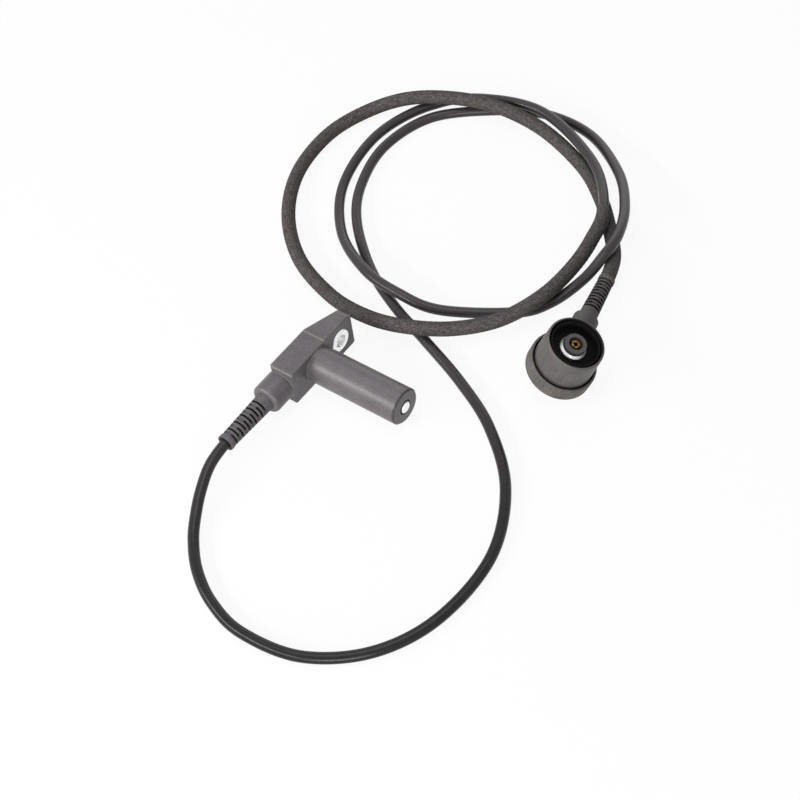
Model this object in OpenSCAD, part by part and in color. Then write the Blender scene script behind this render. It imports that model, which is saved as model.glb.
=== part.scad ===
// Inductive crankshaft position sensor on a coaxial lead, with a right-angle round plug.
// Millimetres. X runs along the probe to its tip, Y towards the fixing ear, Z up as it lies.
// The origin is the middle of the probe where it leaves the seating face.

/* [Probe] */
// Outside diameter of the probe
probe_d = 18; // [16:0.5:20]
// Length of the probe from the seating face to its tip
probe_l = 49.5; // [47:0.5:60]
// Wall of the probe round the coil
probe_wall = 2.1; // [1.6:0.1:2.6]
// Thickness of the wall at the probe's tip
tip_wall = 3; // [2:0.5:4]
// Chamfer round the tip
tip_chamfer = 0.8; // [0.4:0.1:1.5]

/* [Head block] */
// Thickness of the block along the probe
block_t = 13; // [12:0.5:16]
// Height of the block
block_h = 20; // [18:0.5:24]
// Distance from the probe's axis to the cable end of the block
block_back = 19; // [17:0.5:24]
// Distance from the probe's axis to the crease where the ear starts to thin
crease_y = 7; // [5:0.5:9]
// Corner radius at the cable end
block_r = 1.5; // [0.8:0.1:3]
// Rounding of the long edges of the block and the ear
edge_r = 0.8; // [0.4:0.1:1.2]
// Rounding of the crease
crease_r = 3; // [1:0.5:6]
// Wall behind the coil chamber
back_wall = 2.5; // [1.6:0.1:2.6]

/* [Fixing ear] */
// Distance from the probe's axis to the end of the ear
ear_reach = 26; // [24:0.5:32]
// Thickness at the end of the ear
ear_tip_t = 6.4; // [5:0.2:9]
// Corner radius of the ear
ear_r = 3; // [1.5:0.5:5]
// Distance from the probe's axis to the bolt hole
bolt_y = 16.3; // [16:0.1:18]
// Outside diameter of the metal bush
bush_d = 12.2; // [10:0.2:12.6]
// Bore of the bush, for an M6 bolt
bush_bore = 6.6; // [6.4:0.1:7]
// Thickness of the ear under the bolt head
seat_t = 7; // [5.5:0.5:8]
// Diameter of the flat cut for the bolt head
seat_d = 14; // [13:0.5:15]
// How far the bush stands proud of the seating face
bush_proud = 0.2; // [0:0.1:0.5]

/* [Cable boss] */
// Diameter of the round boss on the cable end
boss_d = 15; // [13:0.5:16]
// Length of the boss
boss_l = 12; // [10:0.5:18]
// Rounding at the end of the boss
boss_r = 2; // [0.5:0.25:3]
// Bore through the boss for the crimped lead
lead_bore = 8; // [7.6:0.1:8.4]

/* [Coil] */
// Diameter of the iron pole pin
pole_d = 5.7; // [4.5:0.1:6.2]
// How far the pole pin stands proud of the tip
pole_proud = 0.5; // [0.1:0.1:1.5]
// Diameter of the bobbin's nose that shows at the tip
nose_d = 8; // [7.6:0.1:9]
// Length of the winding space
coil_l = 28.5; // [20:0.5:30]
// Thickness of the bobbin's flanges
flange_t = 2; // [1.5:0.1:2.5]
// Gap left between the wire and the flanges' rim
coil_margin = 0.4; // [0.2:0.1:0.8]
// Diameter of the magnet
magnet_d = 9; // [7:0.5:10]
// Length of the magnet
magnet_l = 10; // [6:0.5:11]
// Width of the terminal strips
strip_w = 1.6; // [1.2:0.1:2]
// Thickness of the terminal strips
strip_t = 0.8; // [0.5:0.1:1]

/* [Bend reliefs] */
// Diameter of the sensor's relief at its root
boot_root_d = 9.4; // [8.8:0.1:11]
// Diameter of the sensor's relief at its tip
boot_tip_d = 7.8; // [7.4:0.1:9]
// Length of the sensor's relief
boot_l = 28.5; // [24:0.5:36]
// Diameter of the plug's relief at its root
plug_boot_root_d = 8.8; // [8.6:0.1:11]
// Diameter of the plug's relief at its tip
plug_boot_tip_d = 7.4; // [7.2:0.1:9]
// Length of the plug's relief
plug_boot_l = 26; // [24:0.5:32]
// Plain length at the root of a relief
relief_neck = 4.4; // [3:0.1:6]
// Length of the lip at the tip of a relief
lip_l = 1.6; // [1.2:0.1:3]
// How far the lip stands out
lip_proud = 0.3; // [0.1:0.1:0.6]
// Number of slot rows in each relief
slot_rows = 10; // [8:1:11]
// Width of a slot
slot_w = 1.1; // [0.8:0.1:1.3]
// Width of the webs that bridge a slot
web_w = 2.8; // [2.2:0.1:3.4]
// Wall left round the lead under the slots
relief_wall = 0.7; // [0.5:0.1:0.9]

/* [Lead] */
// Diameter of the bare lead
cable_d = 5.2; // [4.6:0.1:5.4]
// Diameter of the braided sleeve over the lead
sleeve_d = 7; // [6.4:0.1:7.2]
// Diameter of the insulated core
core_d = 3; // [2.4:0.1:3.6]
// Diameter of the core wire
wire_d = 1; // [0.7:0.1:1.2]
// Wall of the crimped ferrules
ferrule_wall = 1.2; // [0.8:0.1:1.2]
// Length of the ferrules
ferrule_l = 5; // [4:0.5:6]

/* [Plug] */
// Diameter of the plug's back cap
cap_d = 32; // [31:0.5:36]
// Height of the back cap
cap_h = 8.5; // [6:0.5:10]
// Thickness of the cap's floor
cap_floor = 2.5; // [1.5:0.1:3]
// Open groove between the cap and the shell
cap_groove = 0.7; // [0.4:0.1:1]
// Rounded edge of the cap
cap_r = 1; // [0.4:0.1:1]
// Outside diameter of the plug's shell
shell_d = 28.4; // [27.5:0.1:29]
// Height of the rim above the back of the cap
rim_h = 24.6; // [23.5:0.1:30]
// Bore of the shell's open cup
cup_bore = 23.4; // [22.4:0.1:24.4]
// Depth of the open cup
cup_depth = 7.6; // [6.5:0.1:8]
// Thickness of the wall under the cup
cup_floor = 2; // [1.5:0.1:2.5]
// Diameter of the wiring chamber under the cup
chamber_d = 17; // [16:0.1:18]
// Rounded edge of the rim
rim_r = 1; // [0.4:0.1:1.4]
// Diameter of the neck that the lead goes into
neck_d = 12.2; // [11:0.1:13]
// Height of the neck's middle above the back of the cap
neck_h = 10.5; // [10:0.1:10.6]
// Distance from the plug's axis to the end of the neck
neck_l = 25.7; // [22:0.1:30]
// Thickness of the rubber seal on the floor of the cup
seal_t = 2; // [1:0.1:3]
// Thickness of the seal's lining on the wall of the cup
seal_wall = 0.7; // [0.5:0.1:1]
// Depth of the lining's edge below the rim
seal_drop = 0.8; // [0.4:0.1:2]

/* [Plug contacts] */
// Outside diameter of the screen contact ring
ring_d = 12.5; // [12:0.1:13]
// Wall of the screen contact ring
ring_wall = 1; // [0.8:0.1:1.4]
// Depth of the ring's front edge below the rim
ring_drop = 2.7; // [1.5:0.1:3.5]
// Diameter of the insulator between the contacts
core_ins_d = 9.2; // [8.6:0.1:9.6]
// Depth of the insulator's face below the rim
ins_drop = 0.4; // [0.2:0.1:1]
// Thickness of the insulator's collar
collar_t = 1.8; // [1.2:0.1:2]
// Diameter of the recess in the insulator's face
recess_d = 6.6; // [6:0.1:7.2]
// Depth of that recess
recess_h = 1.6; // [0.8:0.1:3]
// Diameter of the middle contact
pin_d = 5.3; // [4.5:0.1:5.6]
// Depth of the middle contact's face below the insulator's
pin_drop = 0.7; // [0.2:0.1:1.2]
// Bore of the middle contact
pin_bore = 2; // [1.5:0.1:2.5]
// Depth of the middle contact's bore
pin_depth = 9; // [6:0.5:10]
// Width of the slits that make the contact springy
slit_w = 0.4; // [0.3:0.1:0.6]
// Length of the slits
slit_l = 5; // [3:0.5:6]

/* [Plug's place on the floor] */
// Place of the plug along X
plug_x = 94; // [93:0.5:95]
// Place of the plug along Y
plug_y = 57; // [56:0.5:58]
// Lean of the plug, rolled about its relief
plug_tilt = 23; // [22:0.5:24]
// Turn of the plug seen from above
plug_turn = 11; // [10:0.5:12]

/* [Hidden] */
$fn = 64;
// Clearance of a piece that is pressed or moulded in
fit = 0.05;
// Room round the lead and round pieces that lie in a chamber
room = 0.1;
// Overlap of cutting tools
eps = 0.5;

floor_z = -max(block_h, probe_d) / 2;
cavity_r = probe_d / 2 - probe_wall;
cavity_back = back_wall - block_t;
boss_x = -boss_d / 2;
boss_end = -(block_back + boss_l);
boot_end = boss_end - boot_l;

// Stations along the probe, from the tip back
coil_front = probe_l - tip_wall - flange_t;
coil_back = coil_front - coil_l;
pole_back = coil_back - 1.5 * flange_t;
magnet_back = pole_back - magnet_l;
bobbin_r = cavity_r - room;

// The bobbin ends clear of the lead, and the terminals are set into it behind the magnet
lead_room = 4.5;
bobbin_back = boss_x + lead_room;
strip_in = 0.6 * (magnet_back - bobbin_back);

// Stations along the lead inside the boss, with the lengths of its bared core and wire
spigot_l = 4;
crimp_gap = 2;
bared = 1;
core_l = 7;
wire_l = 4;
strip_l = 7;
ferrule_r = cable_d / 2 + fit + ferrule_wall;
crimp_end = boss_end + spigot_l + crimp_gap;
jacket_end = crimp_end + ferrule_l - bared;
core_end = jacket_end + core_l;
wire_end = core_end + wire_l;
strip_y = wire_end + strip_l;

// Heights inside the plug, from the back of the cap, and stations along its neck
cup_floor_top = rim_h - cup_depth;
chamber_top = cup_floor_top - cup_floor;
plug_crimp = 9.5;
plug_jacket_end = plug_crimp + bared;
plug_core_l = 6;
solder_l = 2;
tail_in = 0.2;
plug_boot_end = neck_l + plug_boot_l;
plug_z = floor_z + max((cap_d / 2 - cap_r) * sin(plug_tilt),
                       cap_d / 2 * sin(plug_tilt) - cap_r * cos(plug_tilt));

// A point of the plug's own frame, placed in the part's frame
function leaned(p) = [p.x * cos(plug_tilt) + p.z * sin(plug_tilt), p.y,
                      p.z * cos(plug_tilt) - p.x * sin(plug_tilt)];
function turned(p) = [p.x * cos(plug_turn) - p.y * sin(plug_turn),
                      p.x * sin(plug_turn) + p.y * cos(plug_turn), p.z];
function on_plug(p) = [plug_x, plug_y, plug_z] + turned(leaned(p));

// The bare lead's way over the floor: X, Y and the height that it is lifted off the floor
cable_way = [
    [-6, -72, 6.9], [-2.5, -83, 4.4], [2.5, -93.5, 1.6], [10, -104.5, 0.2], [22, -116, 0], [38, -125, 0],
    [58, -129.5, 0],
    [86, -125, 0], [110, -107, 0], [123.5, -79, 0], [124.5, -42, 0], [109.5, -9, 0], [84.5, 15, 0],
    [58, 30, 0], [29.5, 42, 0], [4.5, 52, 0], [-20.5, 66, 0], [-46, 88.5, 0], [-60, 111, 0],
    [-66.5, 140, 0], [-58.5, 169.5, 0], [-34.5, 190, 0], [-8, 202, 0], [21.5, 199.5, 1],
    [51.5, 178, 7], [70, 154, 13], [79.5, 132.5, 17], [81, 117, 17.2], [78, 104, 11.5],
    [68, 91, 2], [56, 78.5, 0], [25, 60.5, 1.2], [4, 56, 5.6], [-19, 60, 5.8], [-48, 78.5, 0.8],
    [-68.5, 107.5, 0], [-75, 146, 0], [-63, 179, 0], [-39, 192, 4.8], [-5, 197, 6.2],
    [37, 177, 8.2]];

// The point where the lead goes into its sleeve
sleeve_start = [61, 149.5, 10.2];

// The sleeve's way, from there to the plug's relief
sleeve_way = [
    [67, 128.5, 9.6], [69, 107, 9.8], [66, 86, 8.6], [56, 66.5, 5.8], [40.5, 51.5, 4.8],
    [22, 40.5, 5.8], [-0.5, 38, 2], [-26, 41, 0], [-54.5, 52.5, 0], [-78.5, 74, 0],
    [-93.5, 101.5, 0], [-97, 132.5, 0], [-89, 157, 0.8], [-72.5, 171.5, 5.2], [-50.5, 182, 6.8],
    [-26.5, 188, 6.2], [-0.5, 189.5, 1.2], [30, 178, 0], [51, 162.5, 0.2], [67, 145, 2.6],
    [77.5, 131.5, 6.2], [84, 120.5, 10.4]];

function lifted(way, d) = [for (p = way) [p.x, p.y, floor_z + d / 2 + p.z]];
cable_route = concat(
    [for (k = [0 : 3]) [boss_x, jacket_end + (boot_end - jacket_end) * k / 3, 0]],
    lifted(cable_way, cable_d), lifted([sleeve_start], sleeve_d));
sleeve_route = concat(
    lifted(concat([sleeve_start], sleeve_way), sleeve_d), [on_plug([0, plug_boot_end, neck_h])]);
tail_route = [on_plug([0, plug_boot_end, neck_h]), on_plug([0, plug_jacket_end, neck_h])];

// A smooth curve through the points of a route, never under the floor, with a ring about every ring_gap
ring_gap = 23;
ring_sides = 12;
function curve(a, b, c, d, t) = b + (c - a) * t / 2 + (2 * a - 5 * b + 4 * c - d) * t * t / 2
    + (3 * b - a - 3 * c + d) * t * t * t / 2;
function steps(a, b) = max(1, round(norm(b - a) / ring_gap));
function above(q, d) = [q.x, q.y, max(q.z, floor_z + d / 2)];
function smooth(p, d) = let (m = len(p), q = concat([2 * p[0] - p[1]], p, [2 * p[m - 1] - p[m - 2]]))
    concat(
        [for (i = [1 : m - 1], n = steps(q[i], q[i + 1]), k = [0 : n - 1])
            above(curve(q[i - 1], q[i], q[i + 1], q[i + 2], k / n), d)],
        [p[m - 1]]);
function unit(v) = v / norm(v);
function along(p, i) = unit(p[min(i + 1, len(p) - 1)] - p[max(i - 1, 0)]);
function ring(c, t, r) = let (s = unit(cross([0, 0, 1], t)), u = cross(t, s))
    [for (k = [0 : ring_sides - 1])
        c + r * (cos(k * 360 / ring_sides) * s + sin(k * 360 / ring_sides) * u)];

module swept(rings) {
    n = ring_sides;
    m = len(rings);
    polyhedron(
        points = [for (r = rings) each r],
        faces = concat(
            [[for (k = [0 : n - 1]) k]],
            [for (i = [0 : m - 2], k = [0 : n - 1], a = i * n + k, b = i * n + (k + 1) % n)
                each [[a, a + n, b + n], [a, b + n, b]]],
            [[for (k = [n - 1 : -1 : 0]) (m - 1) * n + k]]));
}

module tube(outer, inner, length) {
    difference() {
        cylinder(d = outer, h = length);
        translate([0, 0, -eps]) cylinder(d = inner, h = length + 2 * eps);
    }
}

// A closed round bar whose far edge is rounded
module rounded_bar(d, length, r) {
    rotate_extrude() {
        square([d / 2 - r, length]);
        square([d / 2, length - r]);
        translate([d / 2 - r, length - r]) circle(r = r);
    }
}

// A rubber bend relief: a tapered tube with rows of slots that turn by a quarter from row to row
module bend_relief(root_d, tip_d, length) {
    pitch = (length - relief_neck - lip_l) / slot_rows;
    difference() {
        union() {
            translate([0, 0, -spigot_l]) cylinder(d = lead_bore - 2 * fit, h = spigot_l + eps);
            cylinder(d1 = root_d, d2 = tip_d, h = length);
            translate([0, 0, length - lip_l]) cylinder(d = tip_d + 2 * lip_proud, h = lip_l);
        }
        translate([0, 0, -spigot_l - eps])
            cylinder(d = cable_d + 2 * fit, h = spigot_l + length + 2 * eps);
        for (row = [0 : slot_rows - 1])
            translate([0, 0, relief_neck + row * pitch]) rotate(row % 2 * 90) slot_row(root_d);
    }
}

module slot_row(outer) {
    difference() {
        cylinder(d = outer + 2 * eps, h = slot_w);
        translate([0, 0, -eps]) cylinder(d = cable_d + 2 * fit + 2 * relief_wall, h = slot_w + 2 * eps);
        translate([-outer, -web_w / 2, -eps]) cube([2 * outer, web_w, slot_w + 2 * eps]);
    }
}

module along_probe() { rotate([0, 90, 0]) children(); }

module along_lead() { translate([boss_x, 0, 0]) rotate([-90, 0, 0]) children(); }

module at_plug() {
    translate([plug_x, plug_y, plug_z]) rotate([0, 0, plug_turn]) rotate([0, plug_tilt, 0]) children();
}

module along_neck() { at_plug() translate([0, 0, neck_h]) rotate([-90, 0, 0]) children(); }

// An outline through the points, with each corner rounded by its own radius
module rounded(points, radii) {
    n = len(points);
    corners = [for (i = [0 : n - 1])
        let (p = points[i], a = unit(points[(i + n - 1) % n] - p), b = unit(points[(i + 1) % n] - p),
             half = acos(a * b) / 2, reach = radii[i] / tan(half))
        [p + a * reach, p + b * reach, p + unit(a + b) * radii[i] / sin(half)]];
    polygon([for (c = corners) each [c[0], c[1]]]);
    for (i = [0 : n - 1]) translate(corners[i][2]) circle(r = radii[i]);
}

module rounded_slab(a, b, radii) { rounded([a, [b.x, a.y], b, [a.x, b.y]], radii); }

// A bar along Y with its long edges rounded, from its back face forward
module edged_bar(depth) {
    half = block_h / 2;
    rotate([90, 0, 0]) linear_extrude(4 * (block_back + ear_reach), center = true)
        rounded_slab([0, -half], [depth, half], [edge_r, edge_r, edge_r, edge_r]);
}

// The block and its thinning ear: the plan, the view along the probe and the rounded edges, cut together
module block_and_ear() {
    half = block_h / 2;
    ear_lean = atan2(block_t - ear_tip_t, ear_reach - crease_y);
    intersection() {
        linear_extrude(block_h + 2 * eps, center = true)
            rounded([[0, -block_back], [0, ear_reach], [-ear_tip_t, ear_reach],
                     [-block_t, crease_y], [-block_t, -block_back]],
                    [edge_r, edge_r, block_r, crease_r, block_r]);
        translate([-block_t - eps, 0, 0]) rotate([90, 0, 90]) linear_extrude(block_t + 2 * eps)
            rounded_slab([-block_back, -half], [ear_reach, half], [block_r, ear_r, ear_r, block_r]);
        translate([-block_t, 0, 0]) edged_bar(block_t);
        translate([-block_t, crease_y, 0]) rotate(-ear_lean) edged_bar(2 * block_t);
    }
}

module sensor_housing() {
    color([0.44, 0.42, 0.44]) difference() {
        union() {
            block_and_ear();
            along_probe() rotate_extrude()
                polygon([[0, -eps], [probe_d / 2, -eps], [probe_d / 2, probe_l - tip_chamfer],
                         [probe_d / 2 - tip_chamfer, probe_l], [0, probe_l]]);
            translate([boss_x, -block_back + eps, 0]) rotate([90, 0, 0])
                rounded_bar(boss_d, boss_l + eps, boss_r);
        }
        along_probe() translate([0, 0, cavity_back])
            cylinder(r = cavity_r, h = probe_l - tip_wall - cavity_back);
        along_probe() cylinder(d = nose_d + 2 * fit, h = probe_l + eps);
        along_lead() translate([0, 0, boss_end - eps]) cylinder(d = lead_bore, h = -boss_end);
        translate([eps, bolt_y, 0]) rotate([0, -90, 0])
            cylinder(d = bush_d + 2 * fit, h = block_t + 2 * eps);
        translate([-seat_t, bolt_y, 0]) rotate([0, -90, 0]) cylinder(d = seat_d, h = block_t);
    }
}

module mounting_bush() {
    c = 0.4;
    l = seat_t + bush_proud;
    color([0.86, 0.86, 0.85]) translate([bush_proud, bolt_y, 0]) rotate([0, -90, 0]) rotate_extrude()
        polygon([[bush_bore / 2, 0], [bush_d / 2 - c, 0], [bush_d / 2, c], [bush_d / 2, l - c],
                 [bush_d / 2 - c, l], [bush_bore / 2, l]]);
}

module pole_pin() {
    c = 0.3;
    tip = probe_l + pole_proud;
    color([0.93, 0.93, 0.92]) along_probe() rotate_extrude()
        polygon([[0, pole_back], [pole_d / 2, pole_back], [pole_d / 2, tip - c],
                 [pole_d / 2 - c, tip], [0, tip]]);
}

module coil_bobbin() {
    color([0.10, 0.10, 0.10]) difference() {
        along_probe() union() {
            translate([0, 0, bobbin_back]) cylinder(r = bobbin_r, h = coil_back - bobbin_back);
            translate([0, 0, coil_back - eps]) cylinder(d = nose_d, h = probe_l - coil_back + eps);
            translate([0, 0, coil_front]) cylinder(r = bobbin_r, h = flange_t);
        }
        along_probe() translate([0, 0, pole_back]) cylinder(d = pole_d + 2 * fit, h = probe_l);
        along_probe() translate([0, 0, magnet_back]) cylinder(d = magnet_d + 2 * fit, h = magnet_l);
        for (row = [0, -1])
            translate([bobbin_back - eps, strip_y - strip_t / 2 - fit, strip_z(row) - strip_w / 2 - fit])
                cube([strip_in + room + eps, strip_t + 2 * fit, strip_w + 2 * fit]);
    }
}

module coil_winding() {
    color([0.72, 0.40, 0.20]) along_probe() translate([0, 0, coil_back + fit])
        tube(2 * (bobbin_r - coil_margin), nose_d + 2 * fit, coil_l - 2 * fit);
}

module magnet() {
    color([0.35, 0.35, 0.37]) along_probe() translate([0, 0, magnet_back])
        cylinder(d = magnet_d, h = magnet_l);
}

// Height of a terminal: 0 is the signal strip on the lead's axis, -1 the screen strip below it
function strip_z(row) = row * (ferrule_r - strip_w / 2 - room);

module terminal(row, reach) {
    color([0.80, 0.68, 0.38]) translate([0, 0, strip_z(row) - strip_w / 2]) {
        translate([boss_x - strip_t / 2, strip_y - strip_t / 2, 0])
            cube([lead_room + strip_in + strip_t / 2, strip_t, strip_w]);
        translate([boss_x - strip_t / 2, reach, 0]) cube([strip_t, strip_y - reach, strip_w]);
    }
}

module signal_terminal() { terminal(0, wire_end); }

module screen_terminal() { terminal(-1, crimp_end + ferrule_l); }

module sensor_ferrule() {
    color([0.78, 0.76, 0.70]) along_lead() translate([0, 0, crimp_end])
        tube(2 * ferrule_r, cable_d + 2 * fit, ferrule_l);
}

module sensor_core() {
    color([0.92, 0.91, 0.86]) along_lead() translate([0, 0, jacket_end])
        tube(core_d, wire_d + 2 * fit, core_end - jacket_end);
}

module sensor_wire() {
    color([0.75, 0.45, 0.25]) along_lead() translate([0, 0, jacket_end])
        cylinder(d = wire_d, h = wire_end - jacket_end);
}

module sensor_boot() {
    color([0.42, 0.40, 0.41]) translate([boss_x, boss_end, 0]) rotate([90, 0, 0])
        bend_relief(boot_root_d, boot_tip_d, boot_l);
}

module signal_cable() {
    p = smooth(cable_route, cable_d);
    color([0.16, 0.155, 0.165])
        swept([for (i = [0 : len(p) - 1])
            ring(p[i], p[i].x == boss_x ? [0, -1, 0] : along(p, i), cable_d / 2)]);
}

module sleeved_cable() {
    p = smooth(sleeve_route, sleeve_d);
    n = len(p);
    lead = smooth(cable_route, cable_d);
    onward = along(lead, len(lead) - 1);
    inward = unit(tail_route[1] - tail_route[0]);
    color([0.27, 0.25, 0.25])
        swept(concat(
            [for (i = [0 : n - 1])
                ring(p[i], i == 0 ? onward : i == n - 1 ? inward : along(p, i), sleeve_d / 2)],
            [for (q = tail_route) ring(q, inward, cable_d / 2)]));
}

module plug_shell() {
    color([0.40, 0.385, 0.39]) difference() {
        union() {
            at_plug() translate([0, 0, cap_floor]) rounded_bar(shell_d, rim_h - cap_floor, rim_r);
            along_neck() rounded_bar(neck_d, neck_l, rim_r);
        }
        at_plug() translate([0, 0, cup_floor_top]) cylinder(d = cup_bore, h = cup_depth + eps);
        at_plug() translate([0, 0, cap_floor - eps])
            cylinder(d = chamber_d, h = chamber_top - cap_floor + eps);
        at_plug() cylinder(d = ring_d + 2 * fit, h = rim_h);
        along_neck() cylinder(d = lead_bore, h = neck_l + eps);
    }
}

module plug_cap() {
    color([0.38, 0.365, 0.37]) difference() {
        at_plug() intersection() {
            rounded_bar(cap_d, cap_h, cap_r);
            cylinder(d1 = cap_d - 2 * cap_r, d2 = cap_d + 2 * (cap_h - cap_r), h = cap_h);
        }
        at_plug() translate([0, 0, cap_floor]) cylinder(d = shell_d + 2 * cap_groove, h = cap_h);
        along_neck() cylinder(d = neck_d + 2 * room, h = cap_d);
    }
}

module plug_boot() {
    color([0.40, 0.385, 0.39]) along_neck() translate([0, 0, neck_l])
        bend_relief(plug_boot_root_d, plug_boot_tip_d, plug_boot_l);
}

module plug_seal() {
    inner = ring_d / 2 + room;
    outer = cup_bore / 2 - room;
    edge = cup_depth - seal_drop;
    color([0.06, 0.06, 0.06]) at_plug() translate([0, 0, cup_floor_top]) rotate_extrude()
        polygon([[inner, 0], [outer, 0], [outer, edge], [outer - seal_wall, edge],
                 [outer - seal_wall, seal_t], [inner, seal_t]]);
}

module contact_ring() {
    top = rim_h - ring_drop;
    inner = ring_d - 2 * ring_wall;
    tail_z = neck_h + cable_d / 2 + fit + ferrule_wall / 2 - strip_t / 2;
    color([0.85, 0.85, 0.84]) at_plug() {
        translate([0, 0, chamber_top]) tube(ring_d, inner, top - chamber_top);
        translate([-strip_w / 2, inner / 2 + tail_in, tail_z]) {
            cube([strip_w, ring_wall - 2 * tail_in, chamber_top - tail_z + eps]);
            cube([strip_w, plug_crimp - inner / 2 - tail_in, strip_t]);
        }
    }
}

module contact_insulator() {
    color([0.45, 0.44, 0.43]) at_plug() difference() {
        union() {
            translate([0, 0, chamber_top - collar_t]) cylinder(d = chamber_d - 2 * room, h = collar_t);
            translate([0, 0, chamber_top - eps])
                cylinder(d = core_ins_d, h = rim_h - ins_drop - chamber_top + eps);
        }
        cylinder(d = pin_d + 2 * fit, h = rim_h);
        translate([0, 0, rim_h - ins_drop - recess_h]) cylinder(d = recess_d, h = recess_h + eps);
        translate([-strip_w / 2 - room, core_ins_d / 2 + room, 0])
            cube([strip_w + 2 * room, chamber_d, chamber_top]);
    }
}

module centre_contact() {
    top = rim_h - ins_drop - pin_drop;
    low = neck_h - solder_l;
    color([0.78, 0.60, 0.30]) at_plug() difference() {
        translate([0, 0, low]) cylinder(d = pin_d, h = top - low);
        translate([0, 0, top - pin_depth]) cylinder(d = pin_bore, h = pin_depth + eps);
        translate([0, 0, neck_h]) rotate([-90, 0, 0]) cylinder(d = wire_d + 2 * fit, h = pin_d);
        for (turn = [0, 90]) rotate(turn) translate([-pin_d, -slit_w / 2, top - slit_l])
            cube([2 * pin_d, slit_w, slit_l + eps]);
    }
}

module plug_ferrule() {
    color([0.78, 0.76, 0.70]) along_neck() translate([0, 0, plug_crimp])
        tube(2 * ferrule_r, cable_d + 2 * fit, ferrule_l);
}

module plug_core() {
    color([0.92, 0.91, 0.86]) along_neck() translate([0, 0, plug_jacket_end - plug_core_l])
        tube(core_d, wire_d + 2 * fit, plug_core_l);
}

module plug_wire() {
    color([0.75, 0.45, 0.25]) along_neck() translate([0, 0, fit])
        cylinder(d = wire_d, h = plug_jacket_end - fit);
}

sensor_housing();
mounting_bush();
pole_pin();
coil_bobbin();
coil_winding();
magnet();
signal_terminal();
screen_terminal();
sensor_ferrule();
sensor_core();
sensor_wire();
sensor_boot();
signal_cable();
sleeved_cable();
plug_shell();
plug_cap();
plug_boot();
plug_seal();
contact_ring();
contact_insulator();
centre_contact();
plug_ferrule();
plug_core();
plug_wire();
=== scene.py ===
import math
import bpy
from mathutils import Matrix, Vector


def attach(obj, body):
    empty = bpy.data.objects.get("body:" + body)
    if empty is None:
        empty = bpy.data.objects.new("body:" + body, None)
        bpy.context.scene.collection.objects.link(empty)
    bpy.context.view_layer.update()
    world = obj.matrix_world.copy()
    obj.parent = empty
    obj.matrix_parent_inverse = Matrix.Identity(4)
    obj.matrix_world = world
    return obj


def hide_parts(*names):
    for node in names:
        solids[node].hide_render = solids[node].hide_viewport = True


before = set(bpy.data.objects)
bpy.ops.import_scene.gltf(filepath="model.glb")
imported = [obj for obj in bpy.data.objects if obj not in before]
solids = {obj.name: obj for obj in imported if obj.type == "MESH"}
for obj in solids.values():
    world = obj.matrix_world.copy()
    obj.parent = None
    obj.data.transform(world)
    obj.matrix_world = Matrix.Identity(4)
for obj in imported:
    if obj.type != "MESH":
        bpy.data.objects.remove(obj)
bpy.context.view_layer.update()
scene = bpy.context.scene
floorZ = -0.010  # the head block, the plug and the lead lie at this height
print("frame loaded,", len(solids), "solids")

cameraSetup = {
    "place": (0.38892, -0.36674, 0.60969),
    "azimuth": 43.0,
    "elevation": 50.4,
    "roll": -8.84,
    "lens": 78.75,
    "sensorWidth": 36,
    "clip": (0.01, 50),
}


def addCamera(setup):
    az, el, roll = (math.radians(setup[k]) for k in ("azimuth", "elevation", "roll"))
    back = Vector((math.sin(az) * math.cos(el), -math.cos(az) * math.cos(el), math.sin(el)))
    side = Vector((math.cos(az), math.sin(az), 0))
    top = back.cross(side)
    right = side * math.cos(roll) + top * math.sin(roll)
    up = top * math.cos(roll) - side * math.sin(roll)
    data = bpy.data.cameras.new("photoCamera")
    data.lens = setup["lens"]
    data.sensor_width = setup["sensorWidth"]
    data.clip_start, data.clip_end = setup["clip"]
    camera = bpy.data.objects.new("photoCamera", data)
    turn = Matrix((right, up, back)).transposed().to_4x4()
    turn.translation = Vector(setup["place"])
    camera.matrix_world = turn
    scene.collection.objects.link(camera)
    scene.camera = camera


addCamera(cameraSetup)
print("camera set")

lead = {
    "diameter": 0.0052,
    "sides": 24,
    "step": 0.002,
    # out of the sensor's relief: x, y and true height
    "out": [(-0.0075, -0.0338, 0), (-0.0075, -0.0467, 0), (-0.0075, -0.0595, 0)],
    # over the floor: x, y and how far it is lifted off it
    "way": [
        (-0.006, -0.072, 0.0069), (-0.0025, -0.083, 0.0044), (0.0025, -0.0935, 0.0016),
        (0.010, -0.1045, 0.0002), (0.022, -0.116, 0), (0.038, -0.125, 0), (0.058, -0.1295, 0),
        (0.086, -0.125, 0), (0.110, -0.107, 0), (0.1235, -0.079, 0), (0.1245, -0.042, 0),
        (0.1095, -0.009, 0), (0.0845, 0.015, 0), (0.058, 0.030, 0), (0.0295, 0.042, 0),
        (0.0045, 0.052, 0), (-0.0205, 0.066, 0), (-0.046, 0.0885, 0), (-0.060, 0.111, 0),
        (-0.0665, 0.140, 0), (-0.0585, 0.1695, 0), (-0.0345, 0.190, 0), (-0.008, 0.202, 0),
        (0.0215, 0.1995, 0.001), (0.0515, 0.178, 0.007), (0.070, 0.154, 0.013),
        (0.0795, 0.1325, 0.017), (0.081, 0.117, 0.0172), (0.078, 0.104, 0.0115),
        (0.068, 0.091, 0.002), (0.056, 0.0785, 0), (0.025, 0.0605, 0.0012),
        (0.004, 0.056, 0.0056), (-0.019, 0.060, 0.0058), (-0.048, 0.0785, 0.0008),
        (-0.0685, 0.1075, 0), (-0.075, 0.146, 0), (-0.063, 0.179, 0), (-0.039, 0.192, 0.0048),
        (-0.005, 0.197, 0.0062), (0.037, 0.177, 0.0082)],
}

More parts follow.
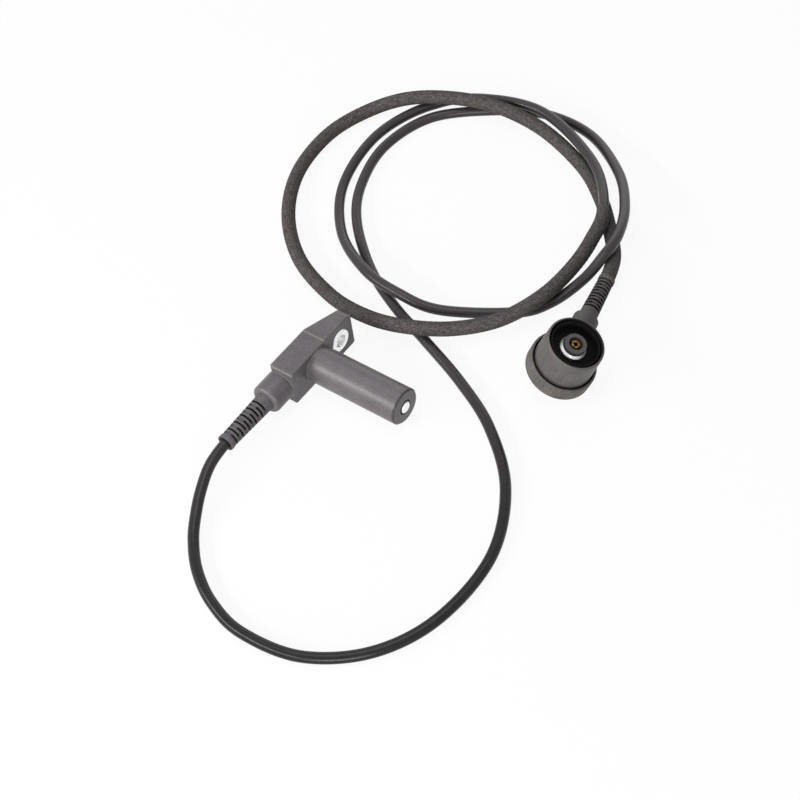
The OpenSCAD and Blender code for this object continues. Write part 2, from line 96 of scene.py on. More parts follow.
sleeve = {
    "diameter": 0.007,
    "sides": 96,
    "step": 0.00045,
    "strands": 16,  # yarns each way round the sleeve
    "pitch": 0.0027,
    "relief": 0.00024,  # how far the yarns stand above the gaps
    "sunk": 0.6,  # share of the relief that lies inside the diameter
    # x, y and how far it is lifted off the floor
    "start": (0.061, 0.1495, 0.0102),
    "way": [
        (0.067, 0.1285, 0.0096), (0.069, 0.107, 0.0098), (0.066, 0.086, 0.0086),
        (0.056, 0.0665, 0.0058), (0.0405, 0.0515, 0.0048), (0.022, 0.0405, 0.0058),
        (-0.0005, 0.038, 0.002), (-0.026, 0.041, 0), (-0.0545, 0.0525, 0), (-0.0785, 0.074, 0),
        (-0.0935, 0.1015, 0), (-0.097, 0.1325, 0), (-0.089, 0.157, 0.0008),
        (-0.0725, 0.1715, 0.0052), (-0.0505, 0.182, 0.0068), (-0.0265, 0.188, 0.0062),
        (-0.0005, 0.1895, 0.0012), (0.030, 0.178, 0), (0.051, 0.1625, 0.0002),
        (0.067, 0.145, 0.0026), (0.0775, 0.1315, 0.0062), (0.084, 0.1205, 0.0104)],
    # into the plug's relief: x, y and true height
    "into": [(0.08816, 0.10853, 0.00553), (0.09026, 0.09774, 0.00553)],
}
samePoint = 1e-7  # two points nearer than this are one


def lifted(way, diameter):
    return [Vector((x, y, floorZ + diameter / 2 + z)) for x, y, z in way]


# a smooth curve through the points, cut into steps and kept off the floor
def smoothLine(points, step, lowest):
    ends = [2 * points[0] - points[1]] + points + [2 * points[-1] - points[-2]]
    line = []
    for a, b, c, d in zip(ends, ends[1:], ends[2:], ends[3:]):
        count = max(2, round((c - b).length / step))
        for k in range(count):
            t = k / count
            p = b + (c - a) * t / 2 + (2 * a - 5 * b + 4 * c - d) * t * t / 2
            p = p + (3 * b - a - 3 * c + d) * t ** 3 / 2
            p.z = max(p.z, lowest)
            line.append(p)
    return line + [points[-1].copy()]


def ringAt(line, point):
    return next(i for i, p in enumerate(line) if (p - point).length < samePoint)


# a closed tube along a line; its radius may change along it and round it
def sweepTube(name, line, sides, radius):
    points, along = [], [0.0]
    for i, p in enumerate(line):
        if i:
            along.append(along[-1] + (p - line[i - 1]).length)
        forward = (line[min(i + 1, len(line) - 1)] - line[max(i - 1, 0)]).normalized()
        across = Vector((0, 0, 1)).cross(forward).normalized()
        up = forward.cross(across)
        for k in range(sides):
            turn = 2 * math.pi * k / sides
            outward = math.cos(turn) * across + math.sin(turn) * up
            points.append(p + radius(along[i], turn) * outward)
    faces, uvs = [], []
    for i in range(len(line) - 1):
        near, far = i * sides, (i + 1) * sides
        for k in range(sides):
            n = (k + 1) % sides
            faces.append((near + k, near + n, far + n, far + k))
            for u, v in ((k, i), (k + 1, i), (k + 1, i + 1), (k, i + 1)):
                uvs += [u / sides, along[v]]
    last = len(points) - sides
    faces += [tuple(reversed(range(sides))), tuple(range(last, last + sides))]
    for k in list(reversed(range(sides))) + list(range(sides)):
        uvs += [k / sides, 0]
    mesh = bpy.data.meshes.new(name)
    mesh.from_pydata(points, [], faces)
    mesh.uv_layers.new(name="UVMap").data.foreach_set("uv", uvs)
    mesh.polygons.foreach_set("use_smooth", [True] * (len(faces) - 2) + [False, False])
    mesh.update()
    tube = bpy.data.objects.new(name, mesh)
    scene.collection.objects.link(tube)
    return tube


def jacketRadius(along, turn):
    return lead["diameter"] / 2


# two sets of yarns cross over and under each other
def braidRadius(along, turn):
    around = sleeve["strands"] * turn / (2 * math.pi)
    run = along / sleeve["pitch"]
    left, right = around + run, around - run
    heights = []
    for yarn, cross, sign in ((left, right, 1), (right, left, -1)):
        whole = math.floor(yarn)
        over = sign * math.cos(math.pi * (cross - 0.5)) * (1 if whole % 2 == 0 else -1)
        crown = 1 - (2 * (yarn - whole) - 1) ** 2
        heights.append((over + crown) / 2)
    return sleeve["diameter"] / 2 + sleeve["relief"] * (max(heights) - sleeve["sunk"])


# a made piece takes the place of one of the solids
def standFor(piece, node):
    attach(piece, "root")
    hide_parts(node)


leadPoints = [Vector(p) for p in lead["out"]] + lifted(lead["way"], lead["diameter"])
sleevePoints = lifted([sleeve["start"]] + sleeve["way"], sleeve["diameter"])
sleevePoints += [Vector(p) for p in sleeve["into"]]

# the jacket runs on inside the sleeve, to the plug
leadLow = floorZ + lead["diameter"] / 2
leadLine = smoothLine(leadPoints + sleevePoints, lead["step"], leadLow)
leadTube = sweepTube("signalLead", leadLine, lead["sides"], jacketRadius)
standFor(leadTube, "signal_cable")

sleeveLow = floorZ + sleeve["diameter"] / 2 + (1 - sleeve["sunk"]) * sleeve["relief"]
sleeveLine = smoothLine([leadPoints[-1]] + sleevePoints, sleeve["step"], sleeveLow)
firstRing = ringAt(sleeveLine, sleevePoints[0])
lastRing = ringAt(sleeveLine, sleevePoints[-2])
sleeveLine = sleeveLine[firstRing:lastRing + 1]
sleeveTube = sweepTube("braidedSleeve", sleeveLine, sleeve["sides"], braidRadius)
standFor(sleeveTube, "sleeved_cable")

plug = {
    "place": (0.094, 0.057, -0.004139),
    "lean": 23,
    "turn": 11,
    "neckHeight": 0.0105,
    "shellRadius": 0.0142,
    "shellBand": 0.0012,  # points this far inside the radius still belong to the outside
    "capTop": 0.0085,
    "rimTop": 0.0246,
    "taper": 0.0006,  # how much the shell narrows from the cap to the rim
    "cupRadius": 0.0117,
    "cupFlare": 0.0009,  # how much the cup widens at the rim
    "ringTop": 0.0219,
    "ringRadius": 0.0062,
    "ringDrop": 0.0004,
    "ringSlope": 0.0009,  # how much lower the ring's outer edge is than its inner one
    "insulatorRadius": 0.0046,
    "insulatorTop": 0.0242,
    "insulatorFlare": 0.00045,
    "pinRadius": 0.00265,
    "pinTop": 0.0235,
    "pinTaper": 0.0007,
}
onEdge = 0.00005  # a point this near to an edge lies on it
rimBand = 0.0002  # points this far inside a turned piece's radius belong to its rim
plugFrame = (Matrix.Translation(plug["place"])
             @ Matrix.Rotation(math.radians(plug["turn"]), 4, "Z")
             @ Matrix.Rotation(math.radians(plug["lean"]), 4, "Y"))


def reachOf(p):
    return math.hypot(p.x, p.y)


def meets(a, b):
    return abs(a - b) < onEdge


def moved(p, outward, up):
    grow = (reachOf(p) + outward) / reachOf(p)
    return Vector((p.x * grow, p.y * grow, p.z + up))


# the outside of the shell narrows towards the rim and the cup's mouth widens
def taperShell(p):
    reach = reachOf(p)
    if meets(reach, plug["cupRadius"]) and meets(p.z, plug["rimTop"]):
        return moved(p, plug["cupFlare"], 0)
    outside = plug["shellRadius"] - plug["shellBand"] < reach < plug["shellRadius"] + onEdge
    if outside and p.z > plug["capTop"]:
        share = (p.z - plug["capTop"]) / (plug["rimTop"] - plug["capTop"])
        return moved(p, -plug["taper"] * share, 0)
    return p


def lowerRing(p):
    if not meets(p.z, plug["ringTop"]):
        return p
    outer = reachOf(p) > plug["ringRadius"] - rimBand
    return moved(p, 0, -plug["ringDrop"] - (plug["ringSlope"] if outer else 0))


def flareInsulator(p):
    atRim = meets(reachOf(p), plug["insulatorRadius"]) and meets(p.z, plug["insulatorTop"])
    return moved(p, plug["insulatorFlare"], 0) if atRim else p


def taperPin(p):
    atRim = reachOf(p) > plug["pinRadius"] - rimBand and meets(p.z, plug["pinTop"])
    return moved(p, -plug["pinTaper"], 0) if atRim else p


def reshapedCopy(name, node, reshape):
    mesh = solids[node].data.copy()
    mesh.name = name
    toPlug = plugFrame.inverted()
    shifted = 0
    for vertex in mesh.vertices:
        before = toPlug @ vertex.co
        after = reshape(before)
        if after is not before:
            vertex.co = plugFrame @ after
            shifted += 1
    mesh.update()
    piece = bpy.data.objects.new(name, mesh)
    scene.collection.objects.link(piece)
    standFor(piece, node)
    print(name, "reshaped,", shifted, "points moved")
    return piece


plugShell = reshapedCopy("plugShell", "plug_shell", taperShell)
screenRing = reshapedCopy("screenRing", "contact_ring", lowerRing)
contactInsulator = reshapedCopy(
    "contactInsulator", "contact_insulator", flareInsulator)
middlePin = reshapedCopy("middlePin", "centre_contact", taperPin)


# a screen colour, 0 to 255, as linear light
def fromScreen(red, green, blue):
    return tuple(c / 12.92 if c <= 0.04045 else ((c + 0.055) / 1.055) ** 2.4
                 for c in (red / 255, green / 255, blue / 255)) + (1,)


def startFinish(name):
    finish = bpy.data.materials.new(name)
    finish.use_nodes = True
    tree = finish.node_tree
    return finish, tree, tree.nodes["Principled BSDF"]


def addNode(tree, kind, **inputs):
    node = tree.nodes.new(kind)
    for key, value in inputs.items():
        node.inputs[key.replace("_", " ")].default_value = value
    return node


def ownPlace(tree):
    return tree.nodes.new("ShaderNodeTexCoord").outputs["Object"]


def combine(tree, kind, a, b=0.0):
    node = tree.nodes.new("ShaderNodeMath")
    node.operation = kind
    for socket, value in zip(node.inputs, (a, b)):
        if isinstance(value, (int, float)):
            socket.default_value = value
        else:
            tree.links.new(value, socket)
    return node.outputs[0]


def placeNoise(tree, size, detail, vector=None):
    noise = addNode(tree, "ShaderNodeTexNoise", Scale=1 / size, Detail=detail)
    tree.links.new(ownPlace(tree) if vector is None else vector, noise.inputs["Vector"])
    return noise.outputs["Fac"]


def mixNoises(tree, first, second, firstShare):
    return combine(tree, "ADD", combine(tree, "MULTIPLY", first, firstShare),
                   combine(tree, "MULTIPLY", second, 1 - firstShare))


colourTurn = (0.36, 0.64)  # where a noise starts and ends its change of colour


def blendColours(tree, amount, first, second):
    stops = tree.nodes.new("ShaderNodeValToRGB")
    for stop, position, colour in zip(stops.color_ramp.elements, colourTurn, (first, second)):
        stop.position = position
        stop.color = colour
    tree.links.new(amount, stops.inputs["Fac"])
    return stops.outputs["Color"]


def layColour(tree, amount, under, over):
    mix = addNode(tree, "ShaderNodeMixRGB", Color2=over)
    tree.links.new(amount, mix.inputs["Fac"])
    tree.links.new(under, mix.inputs["Color1"])
    return mix.outputs["Color"]


# 0 to 1 becomes the first value to the second
def spread(tree, amount, first, second):
    span = addNode(tree, "ShaderNodeMapRange", To_Min=first, To_Max=second)
    tree.links.new(amount, span.inputs["Value"])
    return span.outputs["Result"]


# 0 at the first value and 1 at the second, and held beyond them
def ramp(tree, value, first, second):
    span = addNode(tree, "ShaderNodeMapRange", From_Min=first, From_Max=second)
    tree.links.new(value, span.inputs["Value"])
    return span.outputs["Result"]


edgeRays = 6  # rays that feel for an edge


# how strongly a spot lies on an edge, 0 on a flat and 1 on a sharp corner
def edgeAmount(tree, radius, strength):
    soft = addNode(tree, "ShaderNodeBevel", Radius=radius)
    soft.samples = edgeRays
    flat = tree.nodes.new("ShaderNodeNewGeometry")
    likeness = tree.nodes.new("ShaderNodeVectorMath")
    likeness.operation = "DOT_PRODUCT"
    tree.links.new(soft.outputs["Normal"], likeness.inputs[0])
    tree.links.new(flat.outputs["Normal"], likeness.inputs[1])
    away = combine(tree, "SUBTRACT", 1.0, likeness.outputs["Value"])
    return combine(tree, "MINIMUM", combine(tree, "MULTIPLY", away, strength), 1.0)


def addBump(tree, shader, height, depth, strength):
    bump = addNode(tree, "ShaderNodeBump", Strength=strength, Distance=depth)
    tree.links.new(height, bump.inputs["Height"])
    tree.links.new(bump.outputs["Normal"], shader.inputs["Normal"])


# where a spot lies about an axis: away from it, along it, round it and to its two sides
def roundAxis(tree, look):
    local = addNode(tree, "ShaderNodeMapping", Location=look["axisPlace"],
                    Rotation=[math.radians(a) for a in look["axisTurn"]])
    local.vector_type = "TEXTURE"
    tree.links.new(ownPlace(tree), local.inputs["Vector"])
    parts = tree.nodes.new("ShaderNodeSeparateXYZ")
    tree.links.new(local.outputs["Vector"], parts.inputs["Vector"])
    across, side, height = (parts.outputs[axis] for axis in ("X", "Y", "Z"))
    squares = [combine(tree, "POWER", value, 2) for value in (across, side)]
    reach = combine(tree, "SQRT", combine(tree, "ADD", *squares))
    turn = combine(tree, "ARCTAN2", side, across)
    places = {"reach": reach, "height": height, "turn": turn, "across": across, "side": side}
    if "taper" in look:  # how deep a spot lies under the outside of a cone
        start, radius, end, endRadius = look["taper"]
        slope = (endRadius - radius) / (end - start)
        risen = combine(tree, "MULTIPLY", height, slope)
        outside = combine(tree, "ADD", risen, radius - slope * start)
        places["depth"] = combine(tree, "SUBTRACT", outside, reach)
    if "rows" in look:  # 0 where a slot row starts, up to 1 where the next one does
        first, pitch = look["rows"]
        fromFirst = combine(tree, "SUBTRACT", height, first)
        places["cycle"] = combine(tree, "FRACT", combine(tree, "DIVIDE", fromFirst, pitch))
    return places


# a mark lies where each of its values has passed from its first limit to its second
def markAmount(tree, places, limits):
    amount = None
    for place, first, second in limits:
        step = ramp(tree, places[place], first, second)
        amount = step if amount is None else combine(tree, "MULTIPLY", amount, step)
    return amount


moulding = {
    "cloudShare": 0.4,  # the rest is mottle
    "streakTurn": (0.45, 0.7),  # where a noise starts and ends a draw mark
    "edgeWearAndHighlightPatch": 0.004,
    "edgeWearAndHighlightShare": (0.3, 1.0),  # least and most of the paler edge, wear and painted highlight together
}


# moulded plastic and rubber: clouded colour, draw marks, a fine grain, and edges painted paler,
# partly as wear and partly as a painted highlight
def mouldedFinish(name, look):
    finish, tree, shader = startFinish(name)
    cloud = placeNoise(tree, look["cloud"], 3)
    grain = placeNoise(tree, look["grain"], 2)
    mottle = placeNoise(tree, look["mottle"], 3)
    mixed = mixNoises(tree, cloud, mottle, moulding["cloudShare"])
    colour = blendColours(tree, mixed, look["dark"], look["light"])
    places = roundAxis(tree, look) if "axisPlace" in look else {}
    if "streak" in look:
        lengthwise = tree.nodes.new("ShaderNodeCombineXYZ")
        for socket, place, scale in (("X", "turn", "streak"), ("Y", "height", "streakRun")):
            scaled = combine(tree, "MULTIPLY", places[place], look[scale])
            tree.links.new(scaled, lengthwise.inputs[socket])
        streaks = placeNoise(tree, 1.0, 2, lengthwise.outputs["Vector"])
        drawn = ramp(tree, streaks, *moulding["streakTurn"])
        drawn = combine(tree, "MULTIPLY", drawn, look["streakShare"])
        colour = layColour(tree, drawn, colour, look["streakColour"])
    # edges painted paler: partly wear, partly a painted highlight where a rounded edge catches
    # the light
    if "edgeWearAndHighlight" in look:
        patches = placeNoise(tree, moulding["edgeWearAndHighlightPatch"], 2)
        patches = spread(tree, patches, *moulding["edgeWearAndHighlightShare"])
        edges = edgeAmount(tree, look["edge"], look["edgeWearAndHighlightStrength"])
        edgeWearAndHighlightAmount = combine(tree, "MULTIPLY", edges, patches)
        colour = layColour(tree, edgeWearAndHighlightAmount, colour, look["edgeWearAndHighlight"])
    for limits, share, tone in look.get("marks", []):
        amount = combine(tree, "MULTIPLY", markAmount(tree, places, limits), share)
        colour = layColour(tree, amount, colour, tone)
    tree.links.new(colour, shader.inputs["Base Color"])
    tree.links.new(spread(tree, grain, *look["rough"]), shader.inputs["Roughness"])
    shader.inputs["Specular IOR Level"].default_value = look["gloss"]
    addBump(tree, shader, grain, look["depth"], look["bump"])
    return finish


# turned metal: tool marks run round the axis, on the faces and on the sides
def turnedFinish(name, look):
    finish, tree, shader = startFinish(name)
    places = roundAxis(tree, look)
    ringed = tree.nodes.new("ShaderNodeCombineXYZ")
    tree.links.new(places["reach"], ringed.inputs["X"])
    tree.links.new(places["height"], ringed.inputs["Y"])
    toolMarks = placeNoise(tree, look["toolMarks"], 3, ringed.outputs["Vector"])
    tarnish = placeNoise(tree, look["tarnish"], 3)
    colour = blendColours(tree, tarnish, look["dark"], look["light"])
    tree.links.new(colour, shader.inputs["Base Color"])
    tree.links.new(spread(tree, toolMarks, *look["rough"]), shader.inputs["Roughness"])
    shader.inputs["Metallic"].default_value = 1
    addBump(tree, shader, toolMarks, look["depth"], look["bump"])
    return finish


# yarn: each strand has its own shade, with fine fibres and pale specks
def yarnFinish(name, look):
    finish, tree, shader = startFinish(name)
    strands = tree.nodes.new("ShaderNodeTexCoord")
    stretched = addNode(tree, "ShaderNodeMapping", Scale=(look["around"], look["along"], 1))
    tree.links.new(strands.outputs["UV"], stretched.inputs["Vector"])
    shades = placeNoise(tree, 1.0, 2, stretched.outputs["Vector"])
    fibres = placeNoise(tree, look["fibre"], 4)
    specks = placeNoise(tree, look["speck"], 1)
    mixed = mixNoises(tree, shades, fibres, look["strandShare"])
    colour = blendColours(tree, mixed, look["dark"], look["light"])
    pale = combine(tree, "GREATER_THAN", specks, look["paleFrom"])
    pale = combine(tree, "MULTIPLY", pale, look["paleShare"])
    tree.links.new(layColour(tree, pale, colour, look["pale"]), shader.inputs["Base Color"])
    tree.links.new(spread(tree, fibres, *look["rough"]), shader.inputs["Roughness"])
    shader.inputs["Specular IOR Level"].default_value = look["gloss"]
    addBump(tree, shader, fibres, look["depth"], look["bump"])
    return finish


probeAxis = {"axisPlace": (0, 0, 0), "axisTurn": (0, 90, 0)}
boltAxis = {"axisPlace": (0, 0.0163, 0), "axisTurn": (0, 90, 0)}
plugAxis = {"axisPlace": plug["place"], "axisTurn": (0, plug["lean"], plug["turn"])}
sensorReliefAxis = {"axisPlace": (-0.0075, 0, 0), "axisTurn": (90, 0, 0)}
plugReliefAxis = {
    "axisPlace": tuple(plugFrame @ Vector((0, 0, plug["neckHeight"]))),
    "axisTurn": (-90, plug["lean"], plug["turn"]),
}

# a mark is a list of limits; a look gives it with its strength and its colour
# painted shade: a dark line round the rim of the probe's tip, where its rounded edge falls in
# shade
tipEdgeShade = [("height", 0.0481, 0.0486), ("reach", 0.0080, 0.0084)]
# painted highlight: a pale line along the crease where the ear starts to thin
creaseHighlight = [("side", 0.0053, 0.0058), ("side", 0.0067, 0.0062), ("across", -0.0094, -0.0097)]
housingLook = {
    **probeAxis,
    "cloud": 0.010, "mottle": 0.0008, "grain": 0.00035,  # sizes of the patches and the grain
    "dark": fromScreen(82, 79, 83), "light": fromScreen(106, 101, 105),
    "marks": [(tipEdgeShade, 0.75, fromScreen(36, 35, 36)),
              (creaseHighlight, 0.55, fromScreen(158, 150, 138))],
    # edges painted paler, partly as wear and partly as a painted highlight
    "edge": 0.0008, "edgeWearAndHighlightStrength": 4.5, "edgeWearAndHighlight": fromScreen(184, 178, 172),
    "rough": (0.35, 0.44), "gloss": 0.52, "depth": 0.00004, "bump": 0.3,
}
housingFinish = mouldedFinish("housingMoulding", housingLook)

# painted shade: the inside of the cup, up to the inner edge of the rim, is painted near black
cupInsideShade = [("height", 0.0165, 0.0170), ("reach", 0.0130, 0.0127)]
capShadow = [("height", 0.0102, 0.0090), ("reach", 0.0130, 0.0136), ("reach", 0.0146, 0.0144)]
neckPart = [("reach", 0.0144, 0.0150)]
shellLook = {
    **plugAxis,
    "cloud": 0.009, "mottle": 0.0008, "grain": 0.00035,
    "dark": fromScreen(78, 75, 75), "light": fromScreen(99, 95, 95),
    "marks": [(cupInsideShade, 0.95, fromScreen(14, 13, 13)),
              (capShadow, 0.8, fromScreen(34, 33, 33)),
              (neckPart, 0.7, fromScreen(76, 73, 74))],
    # how dense the draw marks are round the plug and along it
    "streak": 60, "streakRun": 90, "streakShare": 0.4, "streakColour": fromScreen(130, 125, 125),
    "edge": 0.0005, "edgeWearAndHighlightStrength": 2.8, "edgeWearAndHighlight": fromScreen(152, 147, 145),
    "rough": (0.42, 0.58), "gloss": 0.35, "depth": 0.00005, "bump": 0.3,
}
shellFinish = mouldedFinish("shellMoulding", shellLook)

# painted shade: the cap's inside wall, in the groove round the shell, is painted near black
capGrooveShade = [("reach", 0.0152, 0.0149)]
capLook = {
    **plugAxis,
    "cloud": 0.006, "mottle": 0.0008, "grain": 0.00045,
    "dark": fromScreen(74, 71, 69), "light": fromScreen(106, 101, 98),
    "marks": [(capGrooveShade, 0.9, fromScreen(24, 23, 23))],
    "streak": 90, "streakRun": 120, "streakShare": 0.5, "streakColour": fromScreen(138, 132, 126),
    "edge": 0.0005, "edgeWearAndHighlightStrength": 2.4, "edgeWearAndHighlight": fromScreen(148, 142, 136),
    "rough": (0.5, 0.7), "gloss": 0.3, "depth": 0.00008, "bump": 0.45,
}
capFinish = mouldedFinish("capMoulding", capLook)

# painted shade: the floors of the relief slots are painted near black
slotFloorShade = [("depth", 0.00008, 0.00035)]
# painted shade: the rubber darkens towards each row of slots
sensorSlotShade = [
    ("cycle", 0.70, 0.49), ("height", 0.0350, 0.0354), ("height", 0.0579, 0.0575)]
sensorReliefLook = {
    **sensorReliefAxis,
    "taper": (0.031, 0.0047, 0.0595, 0.0039),  # height and radius at both ends
    "rows": (0.0354, 0.00225),  # first slot row and the step to the next
    "cloud": 0.006, "mottle": 0.0011, "grain": 0.0003,
    "dark": fromScreen(88, 84, 88), "light": fromScreen(116, 111, 115),
    "marks": [(sensorSlotShade, 0.4, fromScreen(34, 32, 34)),
              (slotFloorShade, 0.96, fromScreen(12, 11, 12))],
    "edge": 0.0004, "edgeWearAndHighlightStrength": 2.6, "edgeWearAndHighlight": fromScreen(136, 130, 133),
    "rough": (0.5, 0.7), "gloss": 0.3, "depth": 0.00005, "bump": 0.4,
}
sensorReliefFinish = mouldedFinish("sensorReliefRubber", sensorReliefLook)

# painted shade: the rubber darkens towards each row of slots
plugSlotShade = [("cycle", 0.74, 0.55), ("height", 0.0297, 0.0301), ("height", 0.0501, 0.0497)]
plugReliefLook = {
    **plugReliefAxis,
    "taper": (0.0257, 0.0044, 0.0517, 0.0037),
    "rows": (0.0301, 0.002),
    "cloud": 0.006, "mottle": 0.0011, "grain": 0.0003,
    "dark": fromScreen(74, 70, 71), "light": fromScreen(102, 97, 98),
    "marks": [(plugSlotShade, 0.78, fromScreen(16, 15, 15)),
              (slotFloorShade, 0.98, fromScreen(6, 6, 6))],
    "edge": 0.0004, "edgeWearAndHighlightStrength": 2.6, "edgeWearAndHighlight": fromScreen(130, 124, 124),
    "rough": (0.5, 0.7), "gloss": 0.3, "depth": 0.00005, "bump": 0.4,
}
plugReliefFinish = mouldedFinish("plugReliefRubber", plugReliefLook)

paintedSheen = [("side", -0.100, 0.010)]  # painted sheen: the lead is painted paler over the upper coil and towards the sensor than over the lower loop
jacketLook = {
    "axisPlace": (0, 0, 0), "axisTurn": (0, 0, 45),
    "cloud": 0.030, "mottle": 0.004, "grain": 0.0015,
    "dark": fromScreen(12, 11, 13), "light": fromScreen(26, 24, 27),
    "marks": [(paintedSheen, 0.3, fromScreen(98, 90, 96))],
    "rough": (0.25, 0.33), "gloss": 0.29, "depth": 0.00002, "bump": 0.02,
}
jacketFinish = mouldedFinish("leadJacket", jacketLook)

sleeveLook = {
    "around": 24, "along": 300,  # how often the shade changes round the sleeve and per metre
    "strandShare": 0.5,  # the rest is fibre
    "fibre": 0.0003,
    "dark": fromScreen(54, 51, 51), "light": fromScreen(98, 93, 93),
    "speck": 0.0006, "pale": fromScreen(138, 132, 130), "paleFrom": 0.62, "paleShare": 0.5,
    "rough": (0.7, 0.95), "gloss": 0.2, "depth": 0.00012, "bump": 0.6,
}
sleeveFinish = yarnFinish("sleeveBraid", sleeveLook)

bobbinLook = {
    "cloud": 0.004, "mottle": 0.001, "grain": 0.0003,
    "dark": fromScreen(16, 15, 16), "light": fromScreen(24, 23, 24),
    "rough": (0.5, 0.7), "gloss": 0.3, "depth": 0.00004, "bump": 0.3,
}
bobbinFinish = mouldedFinish("bobbinMoulding", bobbinLook)

sealLook = {
    "cloud": 0.004, "mottle": 0.001, "grain": 0.0003,
    "dark": fromScreen(9, 9, 9), "light": fromScreen(14, 13, 13),
    "rough": (0.6, 0.8), "gloss": 0.12, "depth": 0.00004, "bump": 0.3,
}
sealFinish = mouldedFinish("sealRubber", sealLook)

# painted shade: the insulator is painted dark round the contact, in its recess
contactWellShade = [("reach", 0.0036, 0.0033)]
insulatorLook = {
    **plugAxis,
    "cloud": 0.003, "mottle": 0.0008, "grain": 0.0002,
    "dark": fromScreen(70, 67, 69), "light": fromScreen(92, 88, 90),
    "marks": [(contactWellShade, 0.85, fromScreen(52, 42, 38))],
    "edge": 0.0004, "edgeWearAndHighlightStrength": 2.0, "edgeWearAndHighlight": fromScreen(120, 115, 117),
    "rough": (0.45, 0.6), "gloss": 0.35, "depth": 0.00003, "bump": 0.3,
}
insulatorFinish = mouldedFinish("contactInsulation", insulatorLook)

coreLook = {
    "cloud": 0.002, "mottle": 0.001, "grain": 0.0002,
    "dark": fromScreen(222, 219, 208), "light": fromScreen(236, 234, 226),
    "rough": (0.4, 0.55), "gloss": 0.45, "depth": 0.00002, "bump": 0.2,
}
coreFinish = mouldedFinish("coreInsulation", coreLook)

magnetLook = {
    "cloud": 0.002, "mottle": 0.001, "grain": 0.0002,
    "dark": fromScreen(74, 74, 78), "light": fromScreen(98, 98, 102),
    "rough": (0.6, 0.8), "gloss": 0.4, "depth": 0.00004, "bump": 0.4,
}
magnetFinish = mouldedFinish("sinteredMagnet", magnetLook)

bushLook = {
    **boltAxis,
    "toolMarks": 0.00025, "tarnish": 0.003,  # their sizes
    "dark": fromScreen(236, 237, 238), "light": fromScreen(250, 250, 249),
    "rough": (0.25, 0.42), "depth": 0.00001, "bump": 0.3,
}
bushFinish = turnedFinish("bushSteel", bushLook)

poleLook = {
    **probeAxis,
    "toolMarks": 0.00022, "tarnish": 0.002,
    "dark": fromScreen(244, 244, 244), "light": fromScreen(252, 252, 251),
    "rough": (0.3, 0.45), "depth": 0.00001, "bump": 0.25,
}
poleFinish = turnedFinish("poleIron", poleLook)

ringLook = {
    **plugAxis,
    "toolMarks": 0.0002, "tarnish": 0.002,
    "dark": fromScreen(226, 226, 226), "light": fromScreen(246, 246, 244),
    "rough": (0.3, 0.42), "depth": 0.00001, "bump": 0.25,
}
ringFinish = turnedFinish("platedRing", ringLook)

brassLook = {
    **plugAxis,
    "toolMarks": 0.0002, "tarnish": 0.0012,
    "dark": fromScreen(92, 68, 36), "light": fromScreen(160, 126, 76),
    "rough": (0.24, 0.4), "depth": 0.00001, "bump": 0.3,
}
brassFinish = turnedFinish("contactBrass", brassLook)

copperLook = {
    **probeAxis,
    "toolMarks": 0.0003, "tarnish": 0.002,
    "dark": fromScreen(164, 92, 54), "light": fromScreen(205, 128, 82),
    "rough": (0.25, 0.4), "depth": 0.00005, "bump": 0.8,
}
copperFinish = turnedFinish("windingCopper", copperLook)

finishOf = {
    "sensor_housing": housingFinish, "mounting_bush": bushFinish, "pole_pin": poleFinish,
    "coil_bobbin": bobbinFinish, "coil_winding": copperFinish, "magnet": magnetFinish,
    "signal_terminal": brassFinish, "screen_terminal": brassFinish, "sensor_ferrule": ringFinish,
    "sensor_core": coreFinish, "sensor_wire": copperFinish, "sensor_boot": sensorReliefFinish,
    "plug_cap": capFinish, "plug_boot": plugReliefFinish, "plug_seal": sealFinish,
    "plug_ferrule": ringFinish, "plug_core": coreFinish, "plug_wire": copperFinish,
}
madePieces = [
    (leadTube, jacketFinish), (sleeveTube, sleeveFinish), (plugShell, shellFinish),
    (screenRing, ringFinish), (contactInsulator, insulatorFinish), (middlePin, brassFinish)]


def coat(piece, finish):
    piece.data.materials.clear()
    piece.data.materials.append(finish)


for name, finish in finishOf.items():
    coat(solids[name], finish)
for piece, finish in madePieces:
    coat(piece, finish)
print("finishes on", len(finishOf) + len(madePieces), "pieces")

studio = {
    "white": (1, 1, 1, 1),
    "floorSize": 6.0,
    "floorColour": (1, 1, 1, 1),
    "floorRough": 0.9,
    "floorBounce": (0.3, 0.3, 0.3, 1),  # what the object gets back from the floor
    "shadowShare": 0.09,
    "whiteFrom": 0.6,  # no shadow shows on the floor beyond this
    "ambient": 0.2,
    "lamps": {
        "window": {"place": (-0.42, -0.88, 0.54), "aim": (0.02, 0, 0), "size": (1.3, 0.14),
                   "power": 11, "colour": (1, 0.965, 0.91)},
        "front": {"place": (0.58, -0.88, 0.22), "aim": (0.02, 0.02, 0), "size": (0.6, 0.36),
                  "power": 6, "colour": (1, 0.99, 0.97)},
        "overhead": {"place": (-0.05, 0.1, 1.1), "aim": (0.02, 0.03, 0), "size": (0.7, 0.7),
                     "power": 3.4, "colour": (0.98, 0.98, 1)},
        "rear": {"place": (-0.40, 1.02, 0.44), "aim": (0.02, 0.05, 0), "size": (1.2, 0.5),
                 "power": 2, "colour": (1, 0.98, 0.96)},
    },
}


# the rays that see the background as plain white
def whiteRays(tree):
    path = tree.nodes.new("ShaderNodeLightPath")
    seen = combine(tree, "MAXIMUM", path.outputs["Is Camera Ray"], path.outputs["Is Glossy Ray"])
    return combine(tree, "MAXIMUM", seen, path.outputs["Is Transmission Ray"])


def mixShaders(tree, amount, first, second):
    mix = tree.nodes.new("ShaderNodeMixShader")
    tree.links.new(amount, mix.inputs["Fac"])
    tree.links.new(first, mix.inputs[1])
    tree.links.new(second, mix.inputs[2])
    return mix.outputs["Shader"]


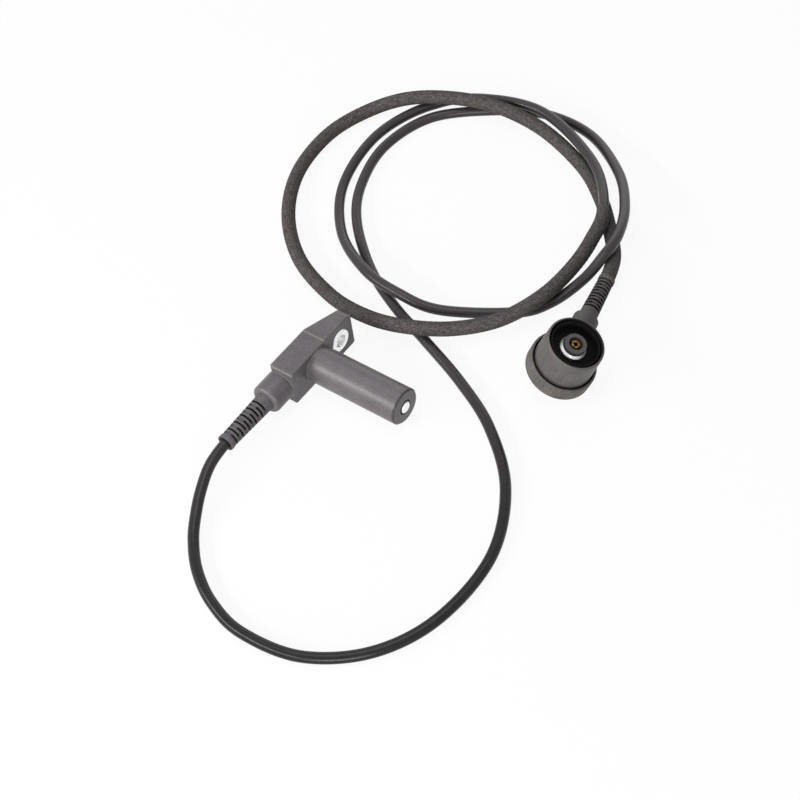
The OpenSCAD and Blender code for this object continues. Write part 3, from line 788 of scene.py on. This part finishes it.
def addFloor(setup):
    half = setup["floorSize"] / 2
    corners = [(x * half, y * half, floorZ) for x, y in ((-1, -1), (1, -1), (1, 1), (-1, 1))]
    mesh = bpy.data.meshes.new("studioFloor")
    mesh.from_pydata(corners, [], [(0, 1, 2, 3)])
    floor = bpy.data.objects.new("studioFloor", mesh)
    scene.collection.objects.link(floor)
    finish, tree, shader = startFinish("studioWhite")
    shader.inputs["Base Color"].default_value = setup["floorColour"]
    shader.inputs["Roughness"].default_value = setup["floorRough"]
    shader.inputs["Specular IOR Level"].default_value = 0
    paper = addNode(tree, "ShaderNodeEmission", Color=setup["white"], Strength=1)
    dim = addNode(tree, "ShaderNodeBsdfDiffuse", Color=setup["floorBounce"])
    away = tree.nodes.new("ShaderNodeVectorMath")
    away.operation = "LENGTH"
    tree.links.new(ownPlace(tree), away.inputs[0])
    fade = ramp(tree, away.outputs["Value"], 0, setup["whiteFrom"])
    whiteness = combine(tree, "MAXIMUM", fade, 1 - setup["shadowShare"])
    share = combine(tree, "MULTIPLY", whiteRays(tree), whiteness)
    seen = mixShaders(tree, share, shader.outputs["BSDF"], paper.outputs["Emission"])
    spared = tree.nodes.new("ShaderNodeLightPath").outputs["Is Diffuse Ray"]
    mixed = mixShaders(tree, spared, seen, dim.outputs["BSDF"])
    tree.links.new(mixed, tree.nodes["Material Output"].inputs["Surface"])
    coat(floor, finish)


def addWorld(setup):
    world = bpy.data.worlds.new("studioWorld")
    scene.world = world
    world.use_nodes = True
    tree = world.node_tree
    soft = tree.nodes["Background"]
    soft.inputs["Color"].default_value = setup["white"]
    soft.inputs["Strength"].default_value = setup["ambient"]
    white = addNode(tree, "ShaderNodeBackground", Color=setup["white"], Strength=1)
    mixed = mixShaders(tree, whiteRays(tree), soft.outputs["Background"],
                       white.outputs["Background"])
    tree.links.new(mixed, tree.nodes["World Output"].inputs["Surface"])


def addLamp(name, setup):
    data = bpy.data.lights.new(name + "Lamp", "AREA")
    data.shape = "RECTANGLE"
    data.size, data.size_y = setup["size"]
    data.energy = setup["power"]
    data.color = setup["colour"]
    lamp = bpy.data.objects.new(name + "Lamp", data)
    lamp.location = setup["place"]
    beam = Vector(setup["aim"]) - Vector(setup["place"])
    lamp.rotation_euler = beam.to_track_quat("-Z", "Y").to_euler()
    scene.collection.objects.link(lamp)


addFloor(studio)
addWorld(studio)
for name, setup in studio["lamps"].items():
    addLamp(name, setup)
scene.view_settings.view_transform = "Standard"
print("studio lit with", len(studio["lamps"]), "lamps")
